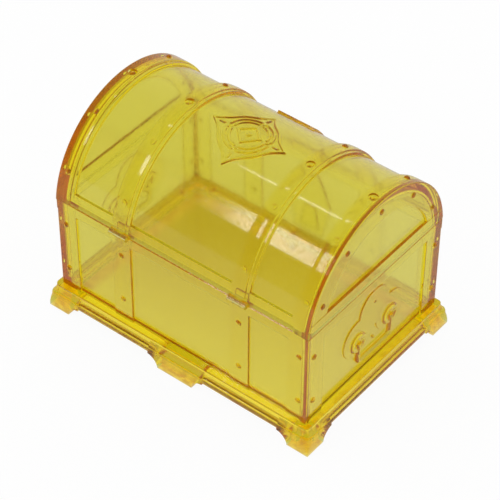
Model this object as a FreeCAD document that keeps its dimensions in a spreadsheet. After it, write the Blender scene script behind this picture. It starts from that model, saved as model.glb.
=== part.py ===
"""A clear moulded treasure chest box: a footed base with iron-work in relief and a hinged barrel lid.

Millimetres, +Z up. The chest stands on its feet at z = 0, with its long walls along X. The lock plate
is at the front (+Y) and the two pin hinges are at the back (-Y), on the middle straps.
"""
import FreeCAD
import Part
import Sketcher
import math
import os
import re

SIZES = {
    # The base's walls, measured over the straps.
    "wall_length": 117.0,
    "wall_depth": 80.2,
    "wall_height": 43.0,
    "wall_thickness": 2.0,
    "floor_thickness": 2.0,
    # The plinth moulding under the walls: a ledge, a slope below it and an upright nose at its foot.
    "plinth_height": 6.2,
    "plinth_proud": 3.7,
    "nose_height": 1.6,
    "ledge_height": 1.0,
    "ledge_proud": 2.2,
    # Bracket feet at the corners and in the middle of the long sides.
    "foot_drop": 5.2,
    "foot_width": 10.5,
    "foot_proud": 4.0,
    "foot_scoop": 5.0,
    "mid_foot_width": 26.4,
    # Straps and rim bands in relief.
    "strap_proud": 0.8,
    "strap_width": 8.8,
    "strap_spacing": 55.0,
    "corner_strap_width": 9.2,
    "rim_proud": 0.15,
    "base_rim_height": 4.8,
    "lid_rim_height": 5.2,
    # The barrel lid, set in from the walls, whose axis lies a little below the seam.
    "seam_gap": 0.15,
    "barrel_inset": 0.7,
    "barrel_drop": 4.7,
    "lid_thickness": 2.0,
    "hoop_proud": 1.6,
    "hoop_width": 8.2,
    "arch_width": 9.4,
    "panel_recess": 1.0,
    # Plates in relief on the lid: the four-pointed plate on its crown and the hasp in front.
    "plate_proud": 0.9,
    "crown_reach": 16.4,
    "crown_bow": 60.0,
    "hasp_width": 17.0,
    "hasp_height": 24.0,
    # The lock plate on the front wall, with its levels measured up from the ledge.
    "lock_proud": 0.9,
    "lock_foot": 4.2,
    "lock_waist": 20.9,
    "lock_top": 34.5,
    "lock_foot_width": 13.0,
    "lock_waist_width": 20.0,
    "lock_top_width": 8.4,
    "keyhole_proud": 0.8,
    "keyhole_foot": 6.3,
    "keyhole_top": 17.1,
    "keyhole_foot_width": 9.0,
    "keyhole_top_width": 5.0,
    # The handle plate on each end wall, with its levels measured up from the ledge.
    "handle_proud": 0.5,
    "dome_radius": 9.0,
    "dome_rise": 28.0,
    "lobe_radius": 8.5,
    "lobe_rise": 19.7,
    "lobe_spacing": 19.6,
    # Two round bosses on each handle plate, and the drop bail that hangs from them.
    "boss_radius": 4.6,
    "boss_proud": 0.9,
    "boss_rise": 17.6,
    "boss_spacing": 19.4,
    "bail_drop": 10.0,
    "bail_wire_radius": 1.3,
    # Pin hinges on the back seam.
    "hinge_proud": 0.7,
    "knuckle_radius": 1.3,
    "lid_knuckle": 3.2,
    "base_knuckle": 2.2,
    "knuckle_gap": 0.2,
    "notch_clearance": 0.25,
    "pin_radius": 0.55,
    "pin_fit": 0.01,
    "pin_running_fit": 0.05,
    "hinge_pad_width": 5.2,
    "hinge_pad_height": 2.6,
    "hinge_pad_thickness": 1.4,
    # How far a cut runs past the faces that it opens.
    "overrun": 5.0,
}

# Levels and half sizes that several features share, written in the sizes above.
NOSE = "(foot_drop + nose_height)"
SLOPE_TOP = "(foot_drop + plinth_height - ledge_height)"
LEDGE = "(foot_drop + plinth_height)"
SEAM = "(foot_drop + plinth_height + wall_height)"
LID_SEAM = "(foot_drop + plinth_height + wall_height + seam_gap)"
HINGE_Z = "(foot_drop + plinth_height + wall_height + seam_gap / 2)"
AXIS = "(foot_drop + plinth_height + wall_height - barrel_drop)"
BARREL = "(wall_depth / 2 - barrel_inset)"
PANEL_X = "(wall_length / 2 - strap_proud)"
PANEL_Y = "(wall_depth / 2 - strap_proud)"
INNER_X = "(wall_length / 2 - strap_proud - wall_thickness)"
INNER_Y = "(wall_depth / 2 - strap_proud - wall_thickness)"
RIM_X = "(wall_length / 2 + rim_proud)"
RIM_Y = "(wall_depth / 2 + rim_proud)"
HINGE_Y = "(wall_depth / 2 + hinge_proud)"
HALF_NOTCH = "(lid_knuckle / 2 + knuckle_gap)"
HINGE_MIDDLES = {"right": "(strap_spacing / 2)", "left": "(-strap_spacing / 2)"}

# Directions, and the turns that lay a cylinder along X or Y and stand a wedge up.
X_AXIS = FreeCAD.Vector(1, 0, 0)
Y_AXIS = FreeCAD.Vector(0, 1, 0)
Z_AXIS = FreeCAD.Vector(0, 0, 1)
UPRIGHT = FreeCAD.Rotation()
ALONG_X = FreeCAD.Rotation(Y_AXIS, 90)
ALONG_Y = FreeCAD.Rotation(X_AXIS, -90)
WEDGE_UP = FreeCAD.Rotation(X_AXIS + Y_AXIS + Z_AXIS, 120)

doc = FreeCAD.newDocument("TreasureChest")
sheet = doc.addObject("Spreadsheet::Sheet", "Sizes")
for row, (size_name, size_value) in enumerate(SIZES.items(), start=1):
    sheet.set(f"A{row}", size_name)
    sheet.set(f"B{row}", str(size_value))
    sheet.setAlias(f"B{row}", size_name)
doc.recompute()


def bound(expression):
    """The expression with every size's name pointed at its cell in the sheet."""
    def cell(word):
        return "Sizes." + word.group() if word.group() in SIZES else word.group()
    return re.sub(r"[a-z][a-z_]*", cell, expression)


def tie(thing, **expressions):
    """Ties each named property of a thing to an expression in the sheet's sizes."""
    for name, expression in expressions.items():
        thing.setExpression(name, bound(expression))


def place(thing, x, y, z, turn=UPRIGHT):
    """Turns a thing and ties its place to expressions in the sheet's sizes."""
    thing.Placement = FreeCAD.Placement(FreeCAD.Vector(), turn)
    for axis, expression in zip("xyz", (x, y, z)):
        thing.setExpression(f".Placement.Base.{axis}", bound(expression))


def new_body(name):
    """A body whose features build one moulding."""
    body = doc.addObject("PartDesign::Body", name)
    body.Label = name
    return body


def new_sketch(body, name, plane, lift="0"):
    """A sketch on one of the body's own planes, lifted along the plane's normal."""
    sketch = body.newObject("Sketcher::SketchObject", name)
    support = next(item for item in body.Origin.OriginFeatures if item.Role == plane)
    sketch.AttachmentSupport = [(support, "")]
    sketch.MapMode = "FlatFace"
    sketch.setExpression(".AttachmentOffset.Base.z", bound(lift))
    return sketch


def constrain(sketch, expression, *terms):
    """Adds one driving dimension to a sketch and ties it to an expression in the sheet's sizes."""
    index = sketch.addConstraint(Sketcher.Constraint(*terms))
    sketch.setExpression(f"Constraints[{index}]", bound(expression))


def draw_rectangle(sketch, left, right, low, high):
    """Draws a rectangle whose sides are placed from the sketch's origin."""
    corners = [FreeCAD.Vector(u, v) for u, v in ((0, 0), (1, 0), (1, 1), (0, 1))]
    sides = []
    for start, end in zip(corners, corners[1:] + corners[:1]):
        sides.append(sketch.addGeometry(Part.LineSegment(start, end)))
    for side, following in zip(sides, sides[1:] + sides[:1]):
        sketch.addConstraint(Sketcher.Constraint("Coincident", side, 2, following, 1))
    bottom, right_side, top, left_side = sides
    for side in (bottom, top):
        sketch.addConstraint(Sketcher.Constraint("Horizontal", side))
    for side in (right_side, left_side):
        sketch.addConstraint(Sketcher.Constraint("Vertical", side))
    constrain(sketch, left, "DistanceX", -1, 1, bottom, 1, -1)
    constrain(sketch, right, "DistanceX", -1, 1, bottom, 2, 1)
    constrain(sketch, low, "DistanceY", -1, 1, bottom, 1, -1)
    constrain(sketch, high, "DistanceY", -1, 1, top, 1, 1)


def draw_barrel_circle(sketch, radius):
    """Draws a circle about the lid's axis."""
    centre = FreeCAD.Vector(0, SIZES["wall_height"])
    ring = sketch.addGeometry(Part.Circle(centre, Z_AXIS, SIZES["wall_height"]))
    sketch.addConstraint(Sketcher.Constraint("PointOnObject", ring, 3, -2))
    constrain(sketch, AXIS, "DistanceY", -1, 1, ring, 3, SIZES["wall_height"])
    constrain(sketch, radius, "Radius", ring, SIZES["wall_height"])


def draw_barrel_arch(sketch, radius, foot):
    """Draws the outline of a barrel's end: an arc about the lid's axis that stands on a level line."""
    centre = FreeCAD.Vector(0, SIZES["wall_height"])
    reach = FreeCAD.Vector(SIZES["wall_height"], 0)
    circle = Part.Circle(centre, Z_AXIS, SIZES["wall_height"])
    arc = sketch.addGeometry(Part.ArcOfCircle(circle, 0, math.pi))
    line = sketch.addGeometry(Part.LineSegment(centre - reach, centre + reach))
    sketch.addConstraint(Sketcher.Constraint("Coincident", arc, 2, line, 1))
    sketch.addConstraint(Sketcher.Constraint("Coincident", line, 2, arc, 1))
    sketch.addConstraint(Sketcher.Constraint("Horizontal", line))
    sketch.addConstraint(Sketcher.Constraint("PointOnObject", arc, 3, -2))
    constrain(sketch, AXIS, "DistanceY", -1, 1, arc, 3, SIZES["wall_height"])
    constrain(sketch, radius, "Radius", arc, SIZES["wall_height"])
    constrain(sketch, foot, "DistanceY", -1, 1, line, 1, SIZES["wall_height"])


def extrude(body, kind, name, sketch, length, symmetric=False, reverse=False):
    """Pads or pockets a sketch by a length in the sheet's sizes."""
    feature = body.newObject("PartDesign::" + kind, name)
    feature.Profile = sketch
    feature.SideType = "Symmetric" if symmetric else "One side"
    feature.Reversed = reverse
    tie(feature, Length=length)


def slab(body, name, half_x, half_y, low, high):
    """Pads a centred rectangle from one level up to another."""
    plan = new_sketch(body, name + "_plan", "XY_Plane", low)
    draw_rectangle(plan, "-" + half_x, half_x, "-" + half_y, half_y)
    extrude(body, "Pad", name, plan, f"{high} - {low}")


def box(body, kind, name, x, y, z):
    """A box between two bounds along each axis, added to or taken from a body."""
    feature = body.newObject("PartDesign::" + kind + "Box", name)
    tie(feature, Length=f"{x[1]} - {x[0]}", Width=f"{y[1]} - {y[0]}", Height=f"{z[1]} - {z[0]}")
    place(feature, x[0], y[0], z[0])


def rod(body, kind, name, radius, start, length, y, z):
    """A cylinder along X, added to or taken from a body."""
    feature = body.newObject("PartDesign::" + kind + "Cylinder", name)
    tie(feature, Radius=radius, Height=length)
    place(feature, start, y, z, ALONG_X)


def wedge(body, name, low_x, low_y, high_x, high_y, height):
    """A wedge between a lower and an upper rectangle, each with its bounds along X and along Y."""
    feature = body.newObject("PartDesign::AdditiveWedge", name)
    tie(feature, Zmin=low_x[0], Zmax=low_x[1], Xmin=low_y[0], Xmax=low_y[1])
    tie(feature, Z2min=high_x[0], Z2max=high_x[1], X2min=high_y[0], X2max=high_y[1])
    tie(feature, Ymin="0", Ymax=height)
    return feature


def across(width):
    """The bounds of a width that is centred on zero."""
    return f"-{width} / 2", f"{width} / 2"


def add_plinth(body):
    """The plinth moulding round the foot of the walls: an upright nose, a slope and a ledge."""
    nose = ("(wall_length / 2 + plinth_proud)", "(wall_depth / 2 + plinth_proud)")
    ledge = ("(wall_length / 2 + ledge_proud)", "(wall_depth / 2 + ledge_proud)")
    slab(body, "plinth_nose", *nose, "foot_drop", NOSE)
    low_x, low_y, high_x, high_y = (("-" + half, half) for half in nose + ledge)
    slope = wedge(body, "plinth_slope", low_x, low_y, high_x, high_y, f"{SLOPE_TOP} - {NOSE}")
    place(slope, "0", "0", NOSE, WEDGE_UP)
    slab(body, "ledge", *ledge, SLOPE_TOP, LEDGE)


def add_straps(body):
    """Upright straps round the walls: one at each corner and two across each long wall."""
    plan = new_sketch(body, "strap_plan", "XY_Plane", LEDGE)
    for middle in HINGE_MIDDLES.values():
        draw_rectangle(plan, f"{middle} - strap_width / 2", f"{middle} + strap_width / 2",
                       "-wall_depth / 2", "wall_depth / 2")
    inner_x, inner_y = "(wall_length / 2 - corner_strap_width)", "(wall_depth / 2 - corner_strap_width)"
    for sign_x in (1, -1):
        for sign_y in (1, -1):
            draw_rectangle(plan, f"{sign_x} * {inner_x}", f"{sign_x} * wall_length / 2",
                           f"{sign_y} * {inner_y}", f"{sign_y} * wall_depth / 2")
    extrude(body, "Pad", "straps", plan, "wall_height")


def add_corner_foot(body, number):
    """A bracket foot at one corner: an upright toe, and a slope above it on its two outer faces."""
    sign_x, sign_y = ((1, 1), (-1, 1), (-1, -1), (1, -1))[number]
    turn = FreeCAD.Rotation(Z_AXIS, 90 * number) * WEDGE_UP
    spread = ("0", "(foot_width + foot_proud)")
    neck = ("0", "(foot_width + foot_proud - plinth_proud + ledge_proud)")
    for name, low, high, top in (("toe", "0", NOSE, spread), ("slope", NOSE, SLOPE_TOP, neck)):
        foot = wedge(body, f"corner_foot_{name}_{number}", spread, spread, top, top, f"{high} - {low}")
        place(foot, f"{sign_x} * (wall_length / 2 - foot_width)", f"{sign_y} * (wall_depth / 2 - foot_width)",
              low, turn)


def add_mid_foot(body, number):
    """A bracket foot in the middle of one long side, which slopes on its outer face only."""
    sign = (1, -1)[number]
    turn = FreeCAD.Rotation(Z_AXIS, 180 * number) * WEDGE_UP
    width = across("mid_foot_width")
    spread = ("0", f"(wall_depth / 2 - {INNER_Y} + foot_proud)")
    neck = ("0", f"(wall_depth / 2 - {INNER_Y} + foot_proud - plinth_proud + ledge_proud)")
    for name, low, high, top in (("toe", "0", NOSE, spread), ("slope", NOSE, SLOPE_TOP, neck)):
        foot = wedge(body, f"mid_foot_{name}_{number}", width, spread, width, top, f"{high} - {low}")
        place(foot, "0", f"{sign} * {INNER_Y}", low, turn)


def scoop_feet(body):
    """Scoops the sides of the feet with round cuts, along the ends and along the long sides."""
    for side, sign in (("front", "1"), ("back", "-1")):
        rod(body, "Subtractive", "scoop_end_" + side, "foot_scoop", "-wall_length", "2 * wall_length",
            f"{sign} * (wall_depth / 2 - foot_width)", "0")
    places = {"corner": "(wall_length / 2 - foot_width)", "mid": "(mid_foot_width / 2)"}
    for name, x in places.items():
        for side, sign in (("right", "1"), ("left", "-1")):
            scoop = body.newObject("PartDesign::SubtractiveCylinder", f"scoop_{name}_{side}")
            tie(scoop, Radius="foot_scoop", Height="2 * wall_depth")
            place(scoop, f"{sign} * {x}", "-wall_depth", "0", ALONG_Y)


def add_handle_plates(body):
    """On both end walls, a plate with a domed top and two lobes, and a boss on each lobe."""
    face = f"({PANEL_X} + handle_proud)"
    boss = f"({PANEL_X} + handle_proud + boss_proud)"
    rod(body, "Additive", "handle_dome", "dome_radius", "-" + face, "2 * " + face,
        "0", LEDGE + " + dome_rise")
    for side, sign in (("front", "1"), ("back", "-1")):
        rod(body, "Additive", "handle_lobe_" + side, "lobe_radius", "-" + face, "2 * " + face,
            f"{sign} * lobe_spacing / 2", LEDGE + " + lobe_rise")
        rod(body, "Additive", "handle_boss_" + side, "boss_radius", "-" + boss, "2 * " + boss,
            f"{sign} * boss_spacing / 2", LEDGE + " + boss_rise")
    for end, sign in (("right", "1"), ("left", "-1")):
        add_bail(body, end, f"{sign} * {face}")


def add_bail(body, end, x):
    """A drop bail of round wire: two arms down from the bosses, and a straight bar between their feet."""
    foot = f"({LEDGE} + boss_rise - bail_drop)"
    for side, sign in (("front", "1"), ("back", "-1")):
        arm = body.newObject("PartDesign::AdditiveCylinder", f"bail_arm_{end}_{side}")
        tie(arm, Radius="bail_wire_radius", Height="bail_drop")
        place(arm, x, f"{sign} * boss_spacing / 2", foot)
    bar = body.newObject("PartDesign::AdditiveCylinder", "bail_bar_" + end)
    tie(bar, Radius="bail_wire_radius", Height="boss_spacing + 2 * bail_wire_radius")
    place(bar, x, "-(boss_spacing / 2 + bail_wire_radius)", foot, ALONG_Y)


def add_lock_plate(body):
    """On the front wall, a waisted lock plate with a keyhole boss."""
    plate = ("0", f"({PANEL_Y} + lock_proud)")
    boss = ("0", f"({PANEL_Y} + lock_proud + keyhole_proud)")
    foot, waist, top = across("lock_foot_width"), across("lock_waist_width"), across("lock_top_width")
    lower = wedge(body, "lock_plate_lower", foot, plate, waist, plate, "lock_waist - lock_foot")
    place(lower, "0", "0", LEDGE + " + lock_foot", WEDGE_UP)
    upper = wedge(body, "lock_plate_upper", waist, plate, top, plate, "lock_top - lock_waist")
    place(upper, "0", "0", LEDGE + " + lock_waist", WEDGE_UP)
    foot, top = across("keyhole_foot_width"), across("keyhole_top_width")
    keyhole = wedge(body, "keyhole_boss", foot, boss, top, boss, "keyhole_top - keyhole_foot")
    place(keyhole, "0", "0", LEDGE + " + keyhole_foot", WEDGE_UP)


def add_hinge_pad(body, side, low, high):
    """A thicker pad inside the back wall, behind one hinge."""
    middle = HINGE_MIDDLES[side]
    box(body, "Additive", "hinge_pad_" + side,
        (f"({middle} - hinge_pad_width / 2)", f"({middle} + hinge_pad_width / 2)"),
        (f"(-{INNER_Y} - wall_thickness / 2)", f"(hinge_pad_thickness - {INNER_Y})"), (low, high))


def add_lid_hinge(body, side):
    """One hinge on the lid: a pad inside, notches for the base's knuckles, and one bored knuckle."""
    middle = HINGE_MIDDLES[side]
    notch = "(base_knuckle + 2 * knuckle_gap)"
    add_hinge_pad(body, side, LID_SEAM, f"({LID_SEAM} + hinge_pad_height)")
    rod(body, "Additive", "knuckle_" + side, "knuckle_radius", f"{middle} - lid_knuckle / 2", "lid_knuckle",
        "-" + HINGE_Y, HINGE_Z)
    starts = {"right": f"{middle} + lid_knuckle / 2", "left": f"{middle} - lid_knuckle / 2 - {notch}"}
    for end, start in starts.items():
        rod(body, "Subtractive", f"hinge_notch_{side}_{end}", "knuckle_radius + notch_clearance",
            start, notch, "-" + HINGE_Y, HINGE_Z)
    rod(body, "Subtractive", "hinge_bore_" + side, "pin_radius + pin_running_fit",
        f"{middle} - {HALF_NOTCH}", f"2 * {HALF_NOTCH}", "-" + HINGE_Y, HINGE_Z)


def hollow_base(body):
    """Opens the space inside the base, above its floor and below it."""
    inside = (("-" + INNER_X, INNER_X), ("-" + INNER_Y, INNER_Y))
    box(body, "Subtractive", body.Label + "_inside", *inside, (LEDGE, f"({SEAM} + overrun)"))
    box(body, "Subtractive", body.Label + "_underside", *inside, ("-overrun", f"({LEDGE} - floor_thickness)"))


def build_base_shell():
    """The base's walls, plinth, straps and rim, with a notch in the rim for each of the lid's knuckles."""
    body = new_body("base_shell")
    slab(body, "walls", PANEL_X, PANEL_Y, "foot_drop", SEAM)
    add_plinth(body)
    add_straps(body)
    slab(body, "rim", RIM_X, RIM_Y, f"({SEAM} - base_rim_height)", SEAM)
    hollow_base(body)
    for side, middle in HINGE_MIDDLES.items():
        rod(body, "Subtractive", "hinge_notch_" + side, "knuckle_radius + notch_clearance",
            f"{middle} - {HALF_NOTCH}", f"2 * {HALF_NOTCH}", "-" + HINGE_Y, HINGE_Z)
    return body


def build_base_feet():
    """The six bracket feet, hollow on the inside like the plinth above them."""
    body = new_body("base_feet")
    for number in range(4):
        add_corner_foot(body, number)
    for number in range(2):
        add_mid_foot(body, number)
    scoop_feet(body)
    hollow_base(body)
    return body


def build_base_relief():
    """The handle plates and the lock plate that stand out from the base's walls."""
    body = new_body("base_relief")
    add_handle_plates(body)
    add_lock_plate(body)
    hollow_base(body)
    return body


def build_base_knuckles():
    """Two knuckles and an inner pad for each hinge, before their pin holes are cut."""
    body = new_body("base_knuckles")
    for side, middle in HINGE_MIDDLES.items():
        add_hinge_pad(body, side, f"({SEAM} - hinge_pad_height)", SEAM)
        starts = {"right": f"{middle} + {HALF_NOTCH}", "left": f"{middle} - {HALF_NOTCH} - base_knuckle"}
        for end, start in starts.items():
            rod(body, "Additive", f"knuckle_{side}_{end}", "knuckle_radius", start, "base_knuckle",
                "-" + HINGE_Y, HINGE_Z)
    return body


def build_base():
    """The base: its shell, feet, relief and knuckles as one moulding, with the pin holes cut through."""
    moulding = doc.addObject("Part::MultiFuse", "base_moulding")
    moulding.Shapes = [build_base_shell(), build_base_feet(), build_base_relief(), build_base_knuckles()]
    moulding.Refine = True
    holes = doc.addObject("Part::MultiFuse", "pin_holes")
    holes.Shapes = [pin_rod(f"pin_hole_{side}", side, "pin_radius + pin_fit") for side in HINGE_MIDDLES]
    base = doc.addObject("Part::Cut", "base_box")
    base.Base = moulding
    base.Tool = holes
    base.Label = "base_box"
    return base


def add_lid_plates(body):
    """The lid's plates in relief, as upright and level prisms trimmed to a barrel just over the skin."""
    blank = "((crown_reach + crown_bow) / 2)"
    top = f"({AXIS} + 2 * {BARREL})"
    box(body, "Additive", "crown_plate", ("-" + blank, blank), ("-" + blank, blank), (LID_SEAM, top))
    for number, (sign_x, sign_y) in enumerate(((1, 1), (-1, 1), (-1, -1), (1, -1))):
        bow = body.newObject("PartDesign::SubtractiveCylinder", f"crown_plate_bow_{number}")
        tie(bow, Radius="sqrt((crown_bow - crown_reach)^2 + crown_bow^2)", Height=f"{top} - {LID_SEAM}")
        place(bow, f"{sign_x} * crown_bow", f"{sign_y} * crown_bow", LID_SEAM)
    hasp = ("(-hasp_width / 2)", "(hasp_width / 2)")
    box(body, "Additive", "hasp_plate", hasp, ("0", f"2 * {BARREL}"),
        (LID_SEAM, f"({LID_SEAM} + hasp_height)"))
    trim = new_sketch(body, "plate_trim_profile", "YZ_Plane")
    draw_barrel_circle(trim, f"{BARREL} + plate_proud")
    draw_barrel_circle(trim, f"3 * {BARREL}")
    extrude(body, "Pocket", "plate_trim", trim, f"2 * {blank} + hasp_width + overrun", symmetric=True)


def add_hoops(body):
    """Four hoops over the barrel: one at each end and one over each middle strap."""
    starts = {
        "end_right": "wall_length / 2 - hoop_width",
        "mid_right": "strap_spacing / 2 - hoop_width / 2",
        "mid_left": "-strap_spacing / 2 - hoop_width / 2",
        "end_left": "-wall_length / 2",
    }
    for name, start in starts.items():
        profile = new_sketch(body, f"hoop_{name}_profile", "YZ_Plane", start)
        draw_barrel_arch(profile, f"{BARREL} + hoop_proud", LID_SEAM)
        extrude(body, "Pad", "hoop_" + name, profile, "hoop_width")


def recess_end_panels(body):
    """Sinks an arched panel in each end wall, inside a border as wide as the arch."""
    for end, face, reverse in (("right", "wall_length / 2", False), ("left", "-wall_length / 2", True)):
        profile = new_sketch(body, f"end_panel_{end}_profile", "YZ_Plane", face)
        draw_barrel_arch(profile, f"{BARREL} + hoop_proud - arch_width", f"{LID_SEAM} + lid_rim_height")
        extrude(body, "Pocket", "end_panel_" + end, profile, "panel_recess", reverse=reverse)


def build_lid():
    """The lid: a barrel shell with hoops, panelled ends, a rim band and plates in relief."""
    body = new_body("lid")
    add_lid_plates(body)
    skin = new_sketch(body, "skin_profile", "YZ_Plane")
    draw_barrel_arch(skin, BARREL, LID_SEAM)
    extrude(body, "Pad", "skin", skin, "wall_length - 2 * panel_recess", symmetric=True)
    add_hoops(body)
    recess_end_panels(body)
    slab(body, "rim", RIM_X, RIM_Y, LID_SEAM, f"({LID_SEAM} + lid_rim_height)")
    hasp = ("(-hasp_width / 2)", "(hasp_width / 2)")
    box(body, "Additive", "hasp_foot", hasp, ("0", f"({RIM_Y} + plate_proud)"),
        (LID_SEAM, f"({LID_SEAM} + lid_rim_height)"))
    hollow = new_sketch(body, "hollow_profile", "YZ_Plane")
    draw_barrel_arch(hollow, f"{BARREL} - lid_thickness", LID_SEAM)
    hollow_length = "wall_length - 2 * panel_recess - 2 * lid_thickness"
    extrude(body, "Pocket", "hollow", hollow, hollow_length, symmetric=True)
    for side in HINGE_MIDDLES:
        add_lid_hinge(body, side)
    return body


def pin_rod(name, side, radius):
    """A rod along one hinge's axis, as long as its row of knuckles."""
    length = f"(2 * ({HALF_NOTCH} + base_knuckle))"
    pin = doc.addObject("Part::Cylinder", name)
    pin.Label = name
    tie(pin, Radius=radius, Height=length)
    place(pin, f"{HINGE_MIDDLES[side]} - {length} / 2", "-" + HINGE_Y, HINGE_Z, ALONG_X)
    return pin


def check(pieces):
    """Stops unless every feature was rebuilt and every piece is one sound solid."""
    failed = [item.Name for item in doc.Objects if "Invalid" in item.State or "Error" in item.State]
    if failed:
        raise RuntimeError("features that failed: " + ", ".join(failed))
    for piece in pieces:
        if piece.Shape.isNull() or not piece.Shape.isValid() or len(piece.Shape.Solids) != 1:
            raise RuntimeError(piece.Label + " is not one sound solid")


def main():
    """Builds the four pieces, checks them and writes each to its own file."""
    pins = [pin_rod(f"hinge_pin_{side}", side, "pin_radius") for side in HINGE_MIDDLES]
    pieces = [build_base(), build_lid(), *pins]
    doc.recompute()
    check(pieces)
    os.makedirs("parts", exist_ok=True)
    for piece in pieces:
        piece.Shape.exportStep(f"parts/{piece.Label}.step")
        bounds = piece.Shape.BoundBox
        print(piece.Label, "volume", round(piece.Shape.Volume), "box", bounds)


main()
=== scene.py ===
"""Looks of the clear amber treasure chest box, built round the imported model.

The mouldings' sizes are millimetres in the model's own frame, and their meshes are made in metres. The
studio's sizes are metres.
"""
import math

import bmesh
import bpy
from mathutils import Euler, Matrix, Vector


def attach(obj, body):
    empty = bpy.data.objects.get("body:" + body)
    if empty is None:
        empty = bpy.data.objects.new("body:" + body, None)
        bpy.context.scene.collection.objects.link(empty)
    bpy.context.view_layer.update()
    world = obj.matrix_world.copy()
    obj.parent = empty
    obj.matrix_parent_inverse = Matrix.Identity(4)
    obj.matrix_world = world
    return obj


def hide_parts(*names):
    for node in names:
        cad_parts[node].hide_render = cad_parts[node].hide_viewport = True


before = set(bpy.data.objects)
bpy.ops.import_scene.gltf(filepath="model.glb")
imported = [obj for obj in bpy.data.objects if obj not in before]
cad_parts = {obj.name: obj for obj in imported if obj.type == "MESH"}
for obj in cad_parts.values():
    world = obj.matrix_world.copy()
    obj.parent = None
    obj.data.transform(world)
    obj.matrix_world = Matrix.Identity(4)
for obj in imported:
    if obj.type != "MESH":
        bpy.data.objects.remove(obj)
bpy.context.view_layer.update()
MM = 0.001
SIDES = (1, -1)
QUARTER_TURN, HALF_TURN = 90.0, 180.0
DIAGONAL = math.sqrt(0.5)

# The base's walls, measured over the straps, and its inside.
WALL_X, WALL_Y = 58.5, 40.1
INNER_X, INNER_Y = 55.7, 37.3

# How far other faces of the base stand out from the straps.
PANEL = -0.8
RIM = 0.15
LEDGE_PROUD = 2.2
PLINTH_PROUD = 3.7

# Levels of the base, from the plinth's foot to the seam.
PLINTH_FOOT = 5.2
NOSE = 6.8
FLOOR_UNDER = 9.4
SLOPE_TOP = 10.4
LEDGE = 11.4
RIM_FOOT = 49.6
SEAM = 54.4

# Upright straps: where the middle ones stand, half their width, and the width of those at the corners.
STRAP_MIDDLE = 27.5
STRAP_HALF = 4.4
CORNER_STRAP = 9.2

# How deep a form is rooted in what carries it, and how far a cut runs past what it cuts.
EMBED = 2.4
OVERRUN = 6.0

# Edge rounding of the mould: faint, plain and full edges, the plinth's corners, and the inner corners
# under the floor, in the base and in the lid.
FINE, SOFT, FULL = 0.25, 0.45, 0.7
PLINTH_CORNER = 2.3
UNDER_ROUND, INSIDE_ROUND, LID_ROUND = 3.2, 1.8, 2.2

# The plinth's cove, from under the ledge down to the nose: how far it stands out, and the level.
COVE_TOP, COVE_FOOT = (2.0, 10.2), (3.5, 7.6)

# Bracket feet: where their flanks are, and up their face, how far they stand out, the level, and how
# round their outer corner is there.
FOOT_X, FOOT_Y = 48.0, 29.6
MID_FOOT_HALF = 13.2
FOOT_SCOOP = 5.0
FOOT_PROFILE = ((3.8, 0.0, 0.2), (4.0, 0.3, 0.3), (4.0, 2.0, 0.5), (4.0, 4.0, 1.6), (3.9, 5.4, 2.6),
                (3.8, 6.6, 3.0), (3.2, 7.8, 2.8), (2.6, 8.9, 2.3), (2.1, 10.4, 1.9))

# The barrel lid: its levels, the rim's upright part and lean, radii about the axis, and places along X.
LID_SEAM, LID_RIM_TOP = 54.55, 59.75
RIM_UPRIGHT, RIM_LEAN = 1.35, 1.35
AXIS = 49.7
BARREL, PLATE, HOOP = 39.4, 40.3, 41.0
LID_INNER, ARCH = 37.4, 31.6
LID_END, LID_PANEL, LID_INNER_END = 58.5, 57.5, 55.5

# Hoops: their whole width, the width and roundness of their back, and the lower borders beside it.
HOOP_WIDTH, HOOP_BACK, HOOP_CROWN = 8.2, 5.2, 0.12
HOOP_BORDER, HOOP_SLOPE = 0.6, 0.2

# The hasp's plate, from an angle up the barrel, and its foot on the rim.
HASP_HALF, HASP_TOP, HASP_START = 8.5, 78.55, 8.0
HASP_FOOT_Y = 41.15

# The crown plate: its four points, and the heights of its field and of the relief on it.
CROWN, CROWN_PINCH = 16.6, 0.055
FIELD, RAISED, PLATE_ROOT = 0.4, 0.5, 0.6
EDGE_HALF = 0.5
RINGS, RING_HALF, RING_GAP = (7.3, 9.1), 0.6, 1.2
BEAD, BEAD_HALF = 8.2, 0.75
LOZENGE, LOZENGE_HALF, CROWN_BOSS = 4.9, 0.6, 1.1
DASH, DASH_LENGTH, DASH_HALF = 12.0, 1.5, 0.65

# Pin hinges on the back seam: their axis, radii, places along X, and the pads behind them.
HINGE_Y, HINGE_Z = -40.8, 54.475
HINGE_MIDDLES = (STRAP_MIDDLE, -STRAP_MIDDLE)
KNUCKLE, NOTCH, BASE_BORE, LID_BORE = 1.3, 1.55, 0.56, 0.6
LID_KNUCKLE_HALF, HALF_NOTCH, ROW_HALF, NOTCH_END = 1.6, 1.8, 4.0, 4.2
PAD_HALF, PAD_FACE, PAD_ROOT, PAD_HEIGHT = 2.6, -35.9, -38.3, 2.6

# Handle plates on the ends, of a dome and two lobes, with the bosses, bail and dots on them.
HANDLE_FACE = 58.2
DOME_Z, DOME = 39.4, 9.0
LOBE_Y, LOBE_Z, LOBE = 9.8, 31.1, 8.5
BOSS_Y, BOSS_Z = 9.7, 29.0
BOSS_PROFILE = ((0, 0.25), (1.2, 0.27), (1.9, 0.4), (2.5, 0.72), (3.2, 0.9), (3.9, 0.76), (4.4, 0.36),
                (4.6, -0.1), (4.6, -1.0), (0, -1.0))
BAIL_FOOT, BAIL_ROOT_WIRE, BAIL_WIRE, BAIL_BEND = 19.0, 1.3, 1.0, 2.0
DOT, DOT_RISE, DOT_LEVELS = 0.7, 0.35, (42.3, 24.4)

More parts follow.
